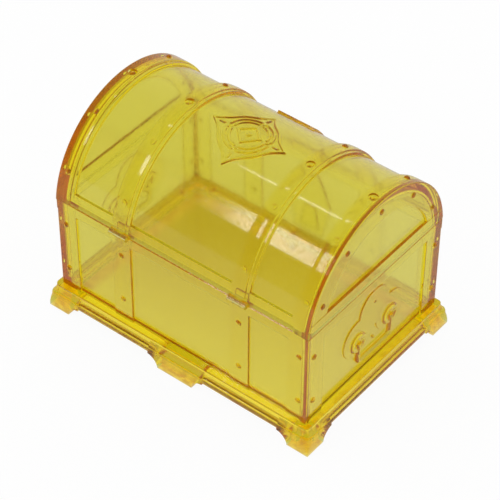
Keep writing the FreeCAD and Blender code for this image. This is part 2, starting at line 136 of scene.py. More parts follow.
# The lock plate in front and the boss on it, as outlines of (x, z).
LOCK_FACE, KEYHOLE_FACE = 40.2, 41.0
LOCK_OUTLINE = ((-6.5, 15.6), (6.5, 15.6), (10.0, 32.3), (4.2, 45.9), (-4.2, 45.9), (-10.0, 32.3))
KEYHOLE_OUTLINE = ((-4.5, 17.7), (4.5, 17.7), (2.5, 28.5), (-2.5, 28.5))

# Rivets: domes on straps, hoops and arched borders, with their angles up the barrel.
RIVET, RIVET_RISE, RIVET_ROOT, RIVET_POCKET = 1.25, 0.85, 0.5, 1.8
WALL_RIVET_X, END_RIVET_Y, RIVET_LEVELS = (27.5, 54.5), 36.6, (43.4, 21.5)
CROWN_TURN = QUARTER_TURN
HOOP_RIVET_X = (27.5, 54.6)
HOOP_RIVET_TURNS = (25.5, 60.0, CROWN_TURN, 120.0, 154.5)
ARCH_RIVET = 36.0
ARCH_RIVET_TURNS = (25.0, 57.5, CROWN_TURN, 122.5, 155.0)

# Into how many stretches round forms are divided.
EDGE_STEPS, EDGE_STEPS_PER_MM = 3, 2
FOOT_STEPS = 6
COVE_STEPS = 8
HOOP_STEPS = 8
DOME_RINGS, DOME_STEPS = 8, 24
WIRE_STEPS = 20
HASP_STEPS = 24
BORE_STEPS = 32
BOSS_STEPS = 40
SCOOP_STEPS = 64
HANDLE_STEPS = 96
BARREL_STEPS = 120
CROWN_RAYS, CROWN_RINGS = 320, 90

# The most of a side that one rounding takes, a bevel's round profile, how near points count as one
# (millimetres and metres), and the angle from which an edge is sharp.
CORNER_SHARE = 0.45
ROUND_PROFILE = 0.5
WELD, CLOSE = 1e-5, 1e-7
SHARP = math.radians(38)

# The plastic: its surface, the mould's ripple and the handling marks (waves to the metre, detail, and
# height or limits), and the tint and haze that grow with depth.
SURFACE, REFRACTION, ROUGHNESS = (0.875, 0.876, 0.8, 1), 1.52, (0.07, 0.15)
RIPPLE_SCALE, RIPPLE_DETAIL, RIPPLE_HEIGHT = 260, 2, 1.4e-5
MARK_SCALE, MARK_DETAIL, MARK_LIMITS = 900, 4, (0.45, 0.75)
TINT, TINT_DENSITY = (0.997, 0.955, 0.12, 1), 500
HAZE, HAZE_DENSITY = (1, 1, 1, 1), 7

# The paper: it lies a tenth of a millimetre up the feet, so that no gap shows under them. It looks even
# where it is seen, a little greyer through the plastic, and darker where the plastic mirrors it.
FLOOR_HALF, FLOOR_LIFT = 4, 0.0001
PAPER, PAPER_ROUGHNESS, PAPER_GLOW = (0.9, 0.9, 0.9, 1), 0.9, 0.94
WHITE, THROUGH, MIRRORED_LOSS = (1, 1, 1, 1), (0.88, 0.88, 0.88, 1), 0.35

# Painted amber light and shade on the paper under the chest: paler near the viewer, deeper at the far
# side and at its left. Light and shade are also painted in patches in a narrow skirt round it, below the
# plinth and feet.
SHADE_X, SHADE_Y, SHADE_EDGE = 0.0545, 0.036, (1.03, 0.97)
SHADE_NEAR, SHADE_FAR = (1.0, 0.93, 0.42, 1), (0.78, 0.63, 0.17, 1)
SHADE_LEFT, LEFT_LIMITS = (0.66, 0.52, 0.08, 1), (0.03, -0.045)
SKIRT_X, SKIRT_Y = 0.0625, 0.044
# The skirt's painted shade and painted light, mixed in patches by noise.
SKIRT_PAINTED_SHADE, SKIRT_PAINTED_LIGHT = (0.72, 0.45, 0.1, 1), (0.93, 0.7, 0.2, 1)
PATCH_SCALE, PATCH_DETAIL, PATCH_LIMITS = 320, 2, (0.38, 0.62)

# The world: even light, dimmer overhead through the plastic. The plastic mirrors a pale backdrop behind
# and below, and dark above and towards the viewer.
SKY, SKY_ABOVE, CEILING = (0.95, 0.95, 0.95, 1), (0.55, 0.55, 0.55, 1), (0.55, 0.8)
BACKDROP_SIDE = (0.0, 0.7, -0.7)
BACKDROP = ((0.0, 0.04), (0.53, 0.04), (0.64, 0.9), (1.0, 0.9))

# Soft lamps (name, place, size and power), which rays through the plastic don't see.
LAMP_AIM = Vector((0.037, -0.02, 0.08))
LAMPS = (
    ("key", (-0.404, -0.655, 0.721), (0.1, 0.33), 0.68),
    ("strip", (-0.413, 0.049, 0.98), (0.1, 0.04), 0.06),
)

# The camera, fitted to the photo's edges: lens and sensor in millimetres, and turns in degrees.
LENS, SENSOR = 152.47, 36
CAMERA_PLACE, CAMERA_TURNS = (0.35780, -0.45208, 0.57475), (46.7953, -0.2982, 38.5789)

# How often light may turn on its way: in all and through the plastic, off it, and in its haze.
LONG_PATH, MIRROR_PATH, HAZE_PATH = 40, 24, 6


def mesh_object(name, bm):
    """A new object from a bmesh in millimetres."""
    bmesh.ops.scale(bm, vec=(MM, MM, MM), verts=bm.verts)
    bmesh.ops.recalc_face_normals(bm, faces=bm.faces)
    mesh = bpy.data.meshes.new(name)
    bm.to_mesh(mesh)
    bm.free()
    piece = bpy.data.objects.new(name, mesh)
    bpy.context.scene.collection.objects.link(piece)
    return piece


def round_steps(rounding):
    """Into how many stretches an edge of that rounding is divided."""
    return EDGE_STEPS + int(EDGE_STEPS_PER_MM * rounding)


def rounded_corner(before, corner, after, rounding, steps=None):
    """The points that round one corner, as far as its shorter side allows."""
    corner = Vector(corner)
    back = Vector(before) - corner
    on = Vector(after) - corner
    reach = min(rounding, back.length * CORNER_SHARE, on.length * CORNER_SHARE)
    start = corner + back.normalized() * reach
    end = corner + on.normalized() * reach
    steps = steps or round_steps(rounding)
    shares = [step / steps for step in range(steps + 1)]
    return [tuple(start * (1 - t) ** 2 + corner * 2 * t * (1 - t) + end * t ** 2) for t in shares]


def rounded_path(points):
    """An open path through points (a, b, rounding) with its inner corners rounded."""
    places = [point[:2] for point in points]
    done = [places[0]]
    for k in range(1, len(points) - 1):
        done += rounded_corner(places[k - 1], places[k], places[k + 1], points[k][2])
    return done + [places[-1]]


def rounded_loop(points, steps=None):
    """A closed outline through points (a, b, rounding) with its corners rounded."""
    places = [point[:2] for point in points]
    done = []
    for k, point in enumerate(points):
        following = places[(k + 1) % len(points)]
        done += rounded_corner(places[k - 1], places[k], following, point[2], steps)
    return done


def bevel(bm, edges, rounding):
    """Rounds edges of a bmesh."""
    bmesh.ops.bevel(bm, geom=edges, offset=rounding, offset_type="OFFSET", affect="EDGES",
                    segments=round_steps(rounding), profile=ROUND_PROFILE)


def rounded_block(low, high, rounding):
    """A block between two corners with its edges rounded."""
    bm = bmesh.new()
    bmesh.ops.create_cube(bm, size=1)
    size = [b - a for a, b in zip(low, high)]
    middle = [(a + b) / 2 for a, b in zip(low, high)]
    bmesh.ops.scale(bm, vec=size, verts=bm.verts)
    bmesh.ops.translate(bm, vec=middle, verts=bm.verts)
    bevel(bm, bm.edges[:], rounding)
    return mesh_object("block", bm)


def rod(start, end, y, z, radius, steps, rounding=0):
    """A rod along X, with its ends' edges rounded where asked."""
    bm = bmesh.new()
    turn = Matrix.Rotation(math.radians(QUARTER_TURN), 4, "Y")
    place = Matrix.Translation(((start + end) / 2, y, z)) @ turn
    bmesh.ops.create_cone(bm, cap_ends=True, segments=steps, radius1=radius, radius2=radius,
                          depth=end - start, matrix=place)
    if rounding:
        bevel(bm, [e for e in bm.edges if any(len(f.verts) > 4 for f in e.link_faces)], rounding)
    return mesh_object("rod", bm)


def loft(rings, rounding=0):
    """A solid through rings of corners, from the first to the last, with rounded edges where asked."""
    bm = bmesh.new()
    rows = [[bm.verts.new(corner) for corner in ring] for ring in rings]
    count = len(rows[0])
    for low, high in zip(rows, rows[1:]):
        for a in range(count):
            b = (a + 1) % count
            bm.faces.new((low[a], low[b], high[b], high[a]))
    bm.faces.new(rows[0])
    bm.faces.new(rows[-1])
    bmesh.ops.recalc_face_normals(bm, faces=bm.faces)
    if rounding:
        bevel(bm, bm.edges[:], rounding)
    return mesh_object("loft", bm)


def prism(outline, back, front, rounding):
    """An outline in X and Z pushed out along Y, with its edges rounded."""
    return loft([[(x, y, z) for x, z in outline] for y in (back, front)], rounding)


def band(profile, corner, ends=None):
    """A solid with round upright corners, from how far it stands out from the straps at each level.
    Its ends stand out evenly where that is given."""
    rings = []
    for proud, z in profile:
        x, y = WALL_X + (proud if ends is None else ends), WALL_Y + proud
        outline = rounded_loop([(x, y, corner), (-x, y, corner), (-x, -y, corner), (x, -y, corner)])
        rings.append([(a, b, z) for a, b in outline])
    return loft(rings)


def corner_strap(sign_x, sign_y):
    """The upright strap round one corner."""
    far_x, far_y = sign_x * WALL_X, sign_y * WALL_Y
    near_x, near_y = far_x - sign_x * CORNER_STRAP, far_y - sign_y * CORNER_STRAP
    outline = rounded_loop([(near_x, near_y, FINE), (far_x, near_y, FINE), (far_x, far_y, SOFT),
                            (near_x, far_y, FINE)])
    return loft([[(x, y, z) for x, y in outline] for z in (LEDGE - EMBED, RIM_FOOT + EMBED)])


def cover(bm, top, rows, foot):
    """Faces from a top point over closed rows of points to a foot point."""
    count = len(rows[0])
    for k in range(count):
        n = (k + 1) % count
        bm.faces.new((top, rows[0][k], rows[0][n]))
        bm.faces.new((foot, rows[-1][n], rows[-1][k]))
        for one, two in zip(rows, rows[1:]):
            bm.faces.new((one[k], two[k], two[n], one[n]))


def turned(profile, point, out, steps):
    """A profile of (radius, height), from axis to axis, turned about a direction at a point."""
    bm = bmesh.new()
    top = bm.verts.new((0, 0, profile[0][1]))
    foot = bm.verts.new((0, 0, profile[-1][1]))
    turns = [math.tau * k / steps for k in range(steps)]
    rows = []
    for radius, height in profile[1:-1]:
        rows.append([bm.verts.new((radius * math.cos(t), radius * math.sin(t), height)) for t in turns])
    cover(bm, top, rows, foot)
    turn = Vector(out).to_track_quat("Z", "X").to_matrix().to_4x4()
    bmesh.ops.transform(bm, matrix=Matrix.Translation(point) @ turn, verts=bm.verts)
    return mesh_object("turned", bm)


def dome(radius, rise, point, out):
    """A domed head on a face, with a root below it."""
    ball = (radius ** 2 + rise ** 2) / (2 * rise)
    opening = math.atan2(radius, ball - rise)
    profile = [(0, rise)]
    for step in range(1, DOME_RINGS + 1):
        angle = opening * step / DOME_RINGS
        profile.append((ball * math.sin(angle), rise - ball * (1 - math.cos(angle))))
    profile += [(radius, -RIVET_ROOT), (0, -RIVET_ROOT)]
    return turned(profile, point, out, DOME_STEPS)


def rivet(point, out):
    """One rivet head."""
    return dome(RIVET, RIVET_RISE, point, out)


def barrel_solid(profile, first, last, steps):
    """A profile of (x, radius), from axis to axis, turned about the lid's axis between two angles."""
    bm = bmesh.new()
    rows = []
    for step in range(steps + 1):
        angle = math.radians(first + (last - first) * step / steps)
        across, up = math.cos(angle), math.sin(angle)
        rows.append([bm.verts.new((x, r * across, AXIS + r * up)) for x, r in profile])
    for one, two in zip(rows, rows[1:]):
        for a in range(len(profile) - 1):
            bm.faces.new((one[a], one[a + 1], two[a + 1], two[a]))
    bmesh.ops.remove_doubles(bm, verts=bm.verts, dist=WELD)
    open_edges = [e for e in bm.edges if e.is_boundary]
    bmesh.ops.edgeloop_fill(bm, edges=open_edges)
    return mesh_object("barrel", bm)


def trim_below(piece, level):
    """Cuts a solid level and closes it."""
    bm = bmesh.new()
    bm.from_mesh(piece.data)
    cut = bmesh.ops.bisect_plane(bm, geom=bm.verts[:] + bm.edges[:] + bm.faces[:], dist=CLOSE,
                                 plane_co=(0, 0, level * MM), plane_no=(0, 0, 1), clear_inner=True)
    edges = [e for e in cut["geom_cut"] if isinstance(e, bmesh.types.BMEdge)]
    bmesh.ops.edgeloop_fill(bm, edges=edges)
    bmesh.ops.recalc_face_normals(bm, faces=bm.faces)
    bm.to_mesh(piece.data)
    bm.free()


def combine(piece, tools, operation):
    """Joins tools to a piece, or cuts them from it, and removes them."""
    group = bpy.data.collections.new("tools")
    for tool in tools:
        group.objects.link(tool)
    change = piece.modifiers.new("combine", "BOOLEAN")
    change.operation = operation
    change.solver = "MANIFOLD"
    change.operand_type = "COLLECTION"
    change.collection = group
    bpy.context.view_layer.update()
    made = bpy.data.meshes.new_from_object(piece.evaluated_get(bpy.context.evaluated_depsgraph_get()))
    piece.modifiers.clear()
    piece.data = made
    for tool in tools:
        bpy.data.objects.remove(tool)
    bpy.data.collections.remove(group)


def hinge_rows(start, end, radius):
    """Rods about the hinge's axis at both hinges, between two distances from their middles."""
    made = []
    for middle in HINGE_MIDDLES:
        made.append(rod(middle + start, middle + end, HINGE_Y, HINGE_Z, radius, BORE_STEPS))
    return made


def hinge_pads(low, high):
    """A pad inside the back wall, behind each hinge."""
    made = []
    for middle in HINGE_MIDDLES:
        first, last = (middle - PAD_HALF, PAD_ROOT, low), (middle + PAD_HALF, PAD_FACE, high)
        made.append(rounded_block(first, last, FINE))
    return made


def plinth():
    """The plinth moulding: a round nose, a cove above it and a ledge on top."""
    profile = [(PLINTH_PROUD - FULL, PLINTH_FOOT), (PLINTH_PROUD - FINE, PLINTH_FOOT + FINE),
               (PLINTH_PROUD, PLINTH_FOOT + FULL), (PLINTH_PROUD, NOSE)]
    for step in range(COVE_STEPS + 1):
        angle = math.radians(QUARTER_TURN) * (1 - step / COVE_STEPS)
        profile.append((COVE_FOOT[0] - (COVE_FOOT[0] - COVE_TOP[0]) * math.cos(angle),
                        COVE_TOP[1] - (COVE_TOP[1] - COVE_FOOT[1]) * math.sin(angle)))
    profile += [(LEDGE_PROUD, SLOPE_TOP), (LEDGE_PROUD, LEDGE - FINE), (LEDGE_PROUD - FINE, LEDGE)]
    return band(profile, PLINTH_CORNER)


def corner_foot(sign_x, sign_y):
    """A bracket foot at a corner, sloped and rounded from an upright toe to the ledge."""
    rings = []
    for proud, z, corner in FOOT_PROFILE:
        x, y = WALL_X + proud, WALL_Y + proud
        corners = [(FOOT_X, FOOT_Y, FINE), (x, FOOT_Y, FINE), (x, y, corner), (FOOT_X, y, FINE)]
        outline = rounded_loop(corners, FOOT_STEPS)
        rings.append([(sign_x * a, sign_y * b, z) for a, b in outline])
    return loft(rings)


def mid_foot(sign):
    """A bracket foot in the middle of a long side."""
    half, back = MID_FOOT_HALF, INNER_Y - EMBED
    rings = []
    for proud, z, _ in FOOT_PROFILE:
        front = WALL_Y + proud
        outline = rounded_loop([(-half, back, FINE), (half, back, FINE), (half, front, SOFT),
                                (-half, front, SOFT)])
        rings.append([(a, sign * b, z) for a, b in outline])
    return loft(rings)


def scoops():
    """Round cuts along the ends and along the long sides, which hollow the feet's flanks."""
    reach_x, reach_y = WALL_X + OVERRUN, WALL_Y + OVERRUN
    turn = Matrix.Rotation(math.radians(QUARTER_TURN), 4, "Z")
    made = []
    for sign in SIDES:
        made.append(rod(-reach_x, reach_x, sign * FOOT_Y, 0, FOOT_SCOOP, SCOOP_STEPS))
        for x in (FOOT_X, MID_FOOT_HALF):
            across = rod(-reach_y, reach_y, 0, 0, FOOT_SCOOP, SCOOP_STEPS)
            across.data.transform(Matrix.Translation((sign * x * MM, 0, 0)) @ turn)
            made.append(across)
    return made


def bail(sign):
    """A drop bail against the plate: tapered arms from the bosses down to a straight bar."""
    path = rounded_path([(-BOSS_Y, BOSS_Z, 0), (-BOSS_Y, BAIL_FOOT, BAIL_BEND),
                         (BOSS_Y, BAIL_FOOT, BAIL_BEND), (BOSS_Y, BOSS_Z, 0)])
    turns = [math.tau * step / WIRE_STEPS for step in range(WIRE_STEPS)]
    rings = []
    for k, (y, z) in enumerate(path):
        before = Vector(path[max(k - 1, 0)])
        after = Vector(path[min(k + 1, len(path) - 1)])
        along = (after - before).normalized()
        wire = BAIL_WIRE + (BAIL_ROOT_WIRE - BAIL_WIRE) * (z - BAIL_FOOT) / (BOSS_Z - BAIL_FOOT)
        rings.append([(sign * HANDLE_FACE + wire * math.sin(t), y - along.y * wire * math.cos(t),
                       z + along.x * wire * math.cos(t)) for t in turns])
    return loft(rings)


def handle(sign):
    """The bosses, bail and dots on one end's handle plate."""
    out = (sign, 0, 0)
    made = [bail(sign)]
    for y in (BOSS_Y, -BOSS_Y):
        made.append(turned(BOSS_PROFILE, (sign * HANDLE_FACE, y, BOSS_Z), out, BOSS_STEPS))
    for z in DOT_LEVELS:
        made.append(dome(DOT, DOT_RISE, (sign * HANDLE_FACE, 0, z), out))
    return made


def base_rivets():
    """The rivets on the base's straps."""
    made = []
    for sign_y in SIDES:
        for sign_x in SIDES:
            for z in RIVET_LEVELS:
                for x in WALL_RIVET_X:
                    made.append(rivet((sign_x * x, sign_y * WALL_Y, z), (0, sign_y, 0)))
                made.append(rivet((sign_x * WALL_X, sign_y * END_RIVET_Y, z), (sign_x, 0, 0)))
    return made


def barrel_point(x, turn, radius):
    """A point on a barrel about the lid's axis, and the direction out of it."""
    angle = math.radians(turn)
    out = Vector((0, math.cos(angle), math.sin(angle)))
    return Vector((x, 0, AXIS)) + out * radius, out


def lid_rivets():
    """The rivets on the lid's hoops and arched borders. Those on the hoops' crowns sit in pockets."""
    made = []
    for sign in SIDES:
        for turn in HOOP_RIVET_TURNS:
            sunk = RIVET_RISE if turn == CROWN_TURN else 0
            made += [rivet(*barrel_point(sign * x, turn, HOOP - sunk)) for x in HOOP_RIVET_X]
        for turn in ARCH_RIVET_TURNS:
            place, _ = barrel_point(sign * LID_END, turn, ARCH_RIVET)
            made.append(rivet(place, (sign, 0, 0)))
    return made


def crown_pockets():
    """Round pockets for the rivets on the hoops' crowns."""
    profile = ((0, OVERRUN), (RIVET_POCKET, OVERRUN), (RIVET_POCKET, 0), (0, 0))
    made = []
    for x in HOOP_RIVET_X:
        for sign in SIDES:
            place, out = barrel_point(sign * x, CROWN_TURN, HOOP - RIVET_RISE)
            made.append(turned(profile, place, out, BORE_STEPS))
    return made


def ridge(distance, half_width):
    """The height of a half-round ridge: 1 along its middle and 0 beyond its half width."""
    return math.sqrt(max(1 - (distance / half_width) ** 2, 0))


def crown_reach(turn):
    """How far the crown plate reaches from its middle: a square on its point, pinched between tips."""
    across, up = abs(math.cos(turn)), abs(math.sin(turn))
    side = 2 * across * up
    return CROWN / (across + up) * (1 - CROWN_PINCH * 4 * side * (1 - side))


def crown_height(x, y):
    """The crown plate's height over the lid's skin: its edge, two rings in four parts, beads and dashes
    on its cross, and a lozenge with a boss."""
    reach = math.hypot(x, y)
    edge = ridge((crown_reach(math.atan2(y, x)) - reach) * DIAGONAL - EDGE_HALF, EDGE_HALF)
    long, short = max(abs(x), abs(y)), min(abs(x), abs(y))
    beyond = max(RING_GAP - short, 0)
    rings = [ridge(math.hypot(reach - ring, beyond), RING_HALF) for ring in RINGS]
    bead = ridge(math.hypot(long - BEAD, short), BEAD_HALF)
    dash = ridge(math.hypot(max(abs(long - DASH) - DASH_LENGTH / 2, 0), short), DASH_HALF)
    lozenge = ridge((abs(x) + abs(y) - LOZENGE) * DIAGONAL, LOZENGE_HALF)
    return FIELD + RAISED * max(edge, *rings, bead, dash, lozenge, ridge(reach, CROWN_BOSS))


def crown_plate():
    """The four-pointed plate on the crown, as rings of points that follow the barrel."""
    def on_barrel(x, y, radius):
        angle = math.radians(CROWN_TURN) - y / PLATE
        return (x, radius * math.cos(angle), AXIS + radius * math.sin(angle))
    bm = bmesh.new()
    turns = [math.tau * k / CROWN_RAYS for k in range(CROWN_RAYS)]
    rows = []
    for step in range(1, CROWN_RINGS + 1):
        row = []
        for turn in turns:
            reach = crown_reach(turn) * step / CROWN_RINGS
            x, y = reach * math.cos(turn), reach * math.sin(turn)
            row.append(bm.verts.new(on_barrel(x, y, BARREL + crown_height(x, y))))
        rows.append(row)
    edge = [(crown_reach(turn) * math.cos(turn), crown_reach(turn) * math.sin(turn)) for turn in turns]
    rows.append([bm.verts.new(on_barrel(x, y, BARREL - PLATE_ROOT)) for x, y in edge])
    top = bm.verts.new(on_barrel(0, 0, BARREL + crown_height(0, 0)))
    foot = bm.verts.new(on_barrel(0, 0, BARREL - PLATE_ROOT))
    cover(bm, top, rows, foot)
    return mesh_object("crown_plate", bm)


def build_base():
    """The base moulding."""
    base = band(((PANEL, PLINTH_FOOT), (PANEL, SEAM - EMBED)), SOFT)
    added = [
        plinth(),
        band(((0, RIM_FOOT), (RIM, RIM_FOOT + FINE), (RIM, SEAM - FINE), (RIM - FINE, SEAM)), SOFT),
        rod(-HANDLE_FACE, HANDLE_FACE, 0, DOME_Z, DOME, HANDLE_STEPS, FINE),
        prism(LOCK_OUTLINE, 0, LOCK_FACE, FINE),
        prism(KEYHOLE_OUTLINE, 0, KEYHOLE_FACE, FINE),
    ]
    for sign in SIDES:
        added.append(rounded_block((sign * STRAP_MIDDLE - STRAP_HALF, -WALL_Y, LEDGE - EMBED),
                                   (sign * STRAP_MIDDLE + STRAP_HALF, WALL_Y, RIM_FOOT + EMBED), FINE))
        added.append(mid_foot(sign))
        added.append(rod(-HANDLE_FACE, HANDLE_FACE, sign * LOBE_Y, LOBE_Z, LOBE, HANDLE_STEPS, FINE))
        for other in SIDES:
            added.append(corner_strap(sign, other))
            added.append(corner_foot(sign, other))
    combine(base, added, "UNION")
    combine(base, handle(1) + handle(-1), "UNION")
    combine(base, scoops(), "DIFFERENCE")
    inside = rounded_block((-INNER_X, -INNER_Y, LEDGE), (INNER_X, INNER_Y, SEAM + OVERRUN), INSIDE_ROUND)
    under = rounded_block((-INNER_X, -INNER_Y, -OVERRUN), (INNER_X, INNER_Y, FLOOR_UNDER), UNDER_ROUND)
    notches = hinge_rows(-HALF_NOTCH, HALF_NOTCH, NOTCH)
    combine(base, [inside, under, *notches], "DIFFERENCE")
    knuckles = hinge_rows(HALF_NOTCH, ROW_HALF, KNUCKLE) + hinge_rows(-ROW_HALF, -HALF_NOTCH, KNUCKLE)
    combine(base, knuckles + hinge_pads(SEAM - PAD_HEIGHT, SEAM) + base_rivets(), "UNION")
    combine(base, hinge_rows(-ROW_HALF, ROW_HALF, BASE_BORE), "DIFFERENCE")
    return base


def hoop_back(middle, start, end):
    """A hoop's slightly round back between two distances from its middle, as points (x, radius)."""
    places = [start + (end - start) * step / HOOP_STEPS for step in range(HOOP_STEPS + 1)]
    return [(middle + x, HOOP - HOOP_CROWN * (2 * x / HOOP_BACK) ** 2) for x in places]


def lid_profile():
    """Half of the lid's outline along X: an end panel, its border, the end hoop and the middle hoop."""
    half, back = HOOP_WIDTH / 2, HOOP_BACK / 2
    end_middle = LID_END - half
    border = rounded_path([(LID_PANEL, 0, 0), (LID_PANEL, ARCH, FINE), (LID_END, ARCH, FINE),
                           (LID_END, HOOP, SOFT), (end_middle, HOOP, 0)])
    steps = []
    for middle, side in ((end_middle, -1), (STRAP_MIDDLE, 1), (STRAP_MIDDLE, -1)):
        edge, shoulder = middle + side * half, middle + side * back
        path = rounded_path([(shoulder, HOOP - HOOP_CROWN, 0),
                             (shoulder + side * HOOP_SLOPE, HOOP - HOOP_BORDER, FINE),
                             (edge, HOOP - HOOP_BORDER, FINE),
                             (edge, BARREL, FINE),
                             (edge + side * FULL, BARREL, 0)])
        steps.append(path[1:-1] if side < 0 else path[-2:0:-1])
    return (border[:-1] + hoop_back(end_middle, 0, -back) + steps[0] + steps[1]
            + hoop_back(STRAP_MIDDLE, back, -back) + steps[2])


def hasp_plate():
    """The hasp's plate on the front of the barrel."""
    root = LID_INNER - EMBED
    profile = rounded_path([(HASP_HALF, root, 0), (HASP_HALF, PLATE, FINE), (-HASP_HALF, PLATE, FINE),
                            (-HASP_HALF, root, 0)])
    top = math.degrees(math.asin((HASP_TOP - AXIS) / PLATE))
    return barrel_solid(profile + [profile[0]], HASP_START, top, HASP_STEPS)


def lid_rim():
    """The lid's rim, whose long faces lean inwards over an upright foot."""
    leaning = rounded_path([(RIM - FINE, LID_SEAM, 0),
                            (RIM, LID_SEAM + FINE, FINE),
                            (RIM, LID_SEAM + RIM_UPRIGHT, FULL),
                            (RIM - RIM_LEAN, LID_RIM_TOP, SOFT),
                            (RIM - RIM_LEAN - FULL, LID_RIM_TOP, 0)])
    return band(leaning, SOFT, RIM)


def build_lid():
    """The lid moulding."""
    half = lid_profile()
    lid = barrel_solid(half + [(-x, r) for x, r in reversed(half)], 0, HALF_TURN, BARREL_STEPS)
    trim_below(lid, LID_SEAM)
    rim = lid_rim()
    hasp_foot = rounded_block((-HASP_HALF, 0, LID_SEAM), (HASP_HALF, HASP_FOOT_Y, LID_RIM_TOP), SOFT)
    combine(lid, [rim, hasp_foot, hasp_plate(), crown_plate()], "UNION")
    hollow_profile = rounded_path([(LID_INNER_END, 0, 0), (LID_INNER_END, LID_INNER, LID_ROUND),
                                   (-LID_INNER_END, LID_INNER, LID_ROUND), (-LID_INNER_END, 0, 0)])
    hollow = barrel_solid(hollow_profile, 0, HALF_TURN, BARREL_STEPS)
    combine(lid, [hollow] + crown_pockets(), "DIFFERENCE")
    combine(lid, hinge_pads(LID_SEAM, LID_SEAM + PAD_HEIGHT), "UNION")
    right_notches = hinge_rows(LID_KNUCKLE_HALF, NOTCH_END, NOTCH)
    left_notches = hinge_rows(-NOTCH_END, -LID_KNUCKLE_HALF, NOTCH)
    combine(lid, right_notches + left_notches, "DIFFERENCE")
    combine(lid, hinge_rows(-LID_KNUCKLE_HALF, LID_KNUCKLE_HALF, KNUCKLE) + lid_rivets(), "UNION")
    combine(lid, hinge_rows(-HALF_NOTCH, HALF_NOTCH, LID_BORE), "DIFFERENCE")
    return lid


def finish_mesh(piece):
    """Smooth shading that keeps flat faces flat and sharp steps sharp."""
    piece.data.shade_smooth()
    piece.data.set_sharp_from_angle(angle=SHARP)
    even = piece.modifiers.new("even", "WEIGHTED_NORMAL")
    even.keep_sharp = True


def math_node(tree, operation, *values):
    """A Math node on sockets or numbers."""
    node = tree.nodes.new("ShaderNodeMath")
    node.operation = operation
    for socket, value in zip(node.inputs, values):
        if isinstance(value, (int, float)):
            socket.default_value = value
        else:
            tree.links.new(value, socket)
    return node.outputs[0]


def spread(tree, value, limits, onto=(0, 1)):
    """A value between two limits, spread onto another range."""
    node = tree.nodes.new("ShaderNodeMapRange")
    node.inputs["From Min"].default_value, node.inputs["From Max"].default_value = limits
    node.inputs["To Min"].default_value, node.inputs["To Max"].default_value = onto
    tree.links.new(value, node.inputs["Value"])
    return node.outputs["Result"]


def mixed(tree, share, first, second):
    """A mix of two colours, each a socket or a value."""
    node = tree.nodes.new("ShaderNodeMix")
    node.data_type = "RGBA"
    tree.links.new(share, node.inputs["Factor"])
    for socket, value in ((node.inputs[6], first), (node.inputs[7], second)):
        if isinstance(value, tuple):
            socket.default_value = value
        else:
            tree.links.new(value, socket)
    return node.outputs[2]


def noise(tree, place, scale, detail):
    """Noise in the object's own space, with that many waves to the metre."""
    node = tree.nodes.new("ShaderNodeTexNoise")
    node.inputs["Scale"].default_value = scale
    node.inputs["Detail"].default_value = detail
    tree.links.new(place.outputs["Object"], node.inputs["Vector"])
    return node.outputs["Fac"]


def amber_plastic():
    """Clear tinted plastic: amber by depth, a faint ripple from the mould and fine handling marks."""
    made = bpy.data.materials.new("amber_plastic")
    made.use_nodes = True
    tree = made.node_tree
    nodes, links = tree.nodes, tree.links
    shader = nodes["Principled BSDF"]
    shader.inputs["Base Color"].default_value = SURFACE
    shader.inputs["Transmission Weight"].default_value = 1
    shader.inputs["IOR"].default_value = REFRACTION
    place = nodes.new("ShaderNodeTexCoord")
    bump = nodes.new("ShaderNodeBump")
    bump.inputs["Strength"].default_value = 1
    bump.inputs["Distance"].default_value = RIPPLE_HEIGHT
    links.new(noise(tree, place, RIPPLE_SCALE, RIPPLE_DETAIL), bump.inputs["Height"])
    links.new(bump.outputs["Normal"], shader.inputs["Normal"])
    marks = noise(tree, place, MARK_SCALE, MARK_DETAIL)
    links.new(spread(tree, marks, MARK_LIMITS, ROUGHNESS), shader.inputs["Roughness"])
    tint = nodes.new("ShaderNodeVolumeAbsorption")
    tint.inputs["Color"].default_value = TINT
    tint.inputs["Density"].default_value = TINT_DENSITY
    haze = nodes.new("ShaderNodeVolumeScatter")
    haze.inputs["Color"].default_value = HAZE
    haze.inputs["Density"].default_value = HAZE_DENSITY
    both = nodes.new("ShaderNodeAddShader")
    links.new(tint.outputs["Volume"], both.inputs[0])
    links.new(haze.outputs["Volume"], both.inputs[1])
    links.new(both.outputs[0], nodes["Material Output"].inputs["Volume"])
    return made


def mirrored(tree, path):
    """1 for a ray that the object's surface reflects, and 0 for one that has passed through it."""
    passed = math_node(tree, "SUBTRACT", 1, path.outputs["Is Transmission Ray"])
    return math_node(tree, "MULTIPLY", path.outputs["Is Glossy Ray"], passed)


def seen_directly(tree, path):
    """1 for a ray from the camera or through or off the object, and 0 for one that only lights."""
    off = math_node(tree, "MAXIMUM", path.outputs["Is Camera Ray"], path.outputs["Is Glossy Ray"])
    return math_node(tree, "MAXIMUM", off, path.outputs["Is Transmission Ray"])


def within(tree, split, half_x, half_y):
    """1 on the paper within half a length and half a depth of the middle, and 0 beyond."""
    shares = []
    for axis, half in (("X", half_x), ("Y", half_y)):
        distance = math_node(tree, "ABSOLUTE", split.outputs[axis])
        shares.append(math_node(tree, "DIVIDE", distance, half))
    return spread(tree, math_node(tree, "MAXIMUM", *shares), SHADE_EDGE)


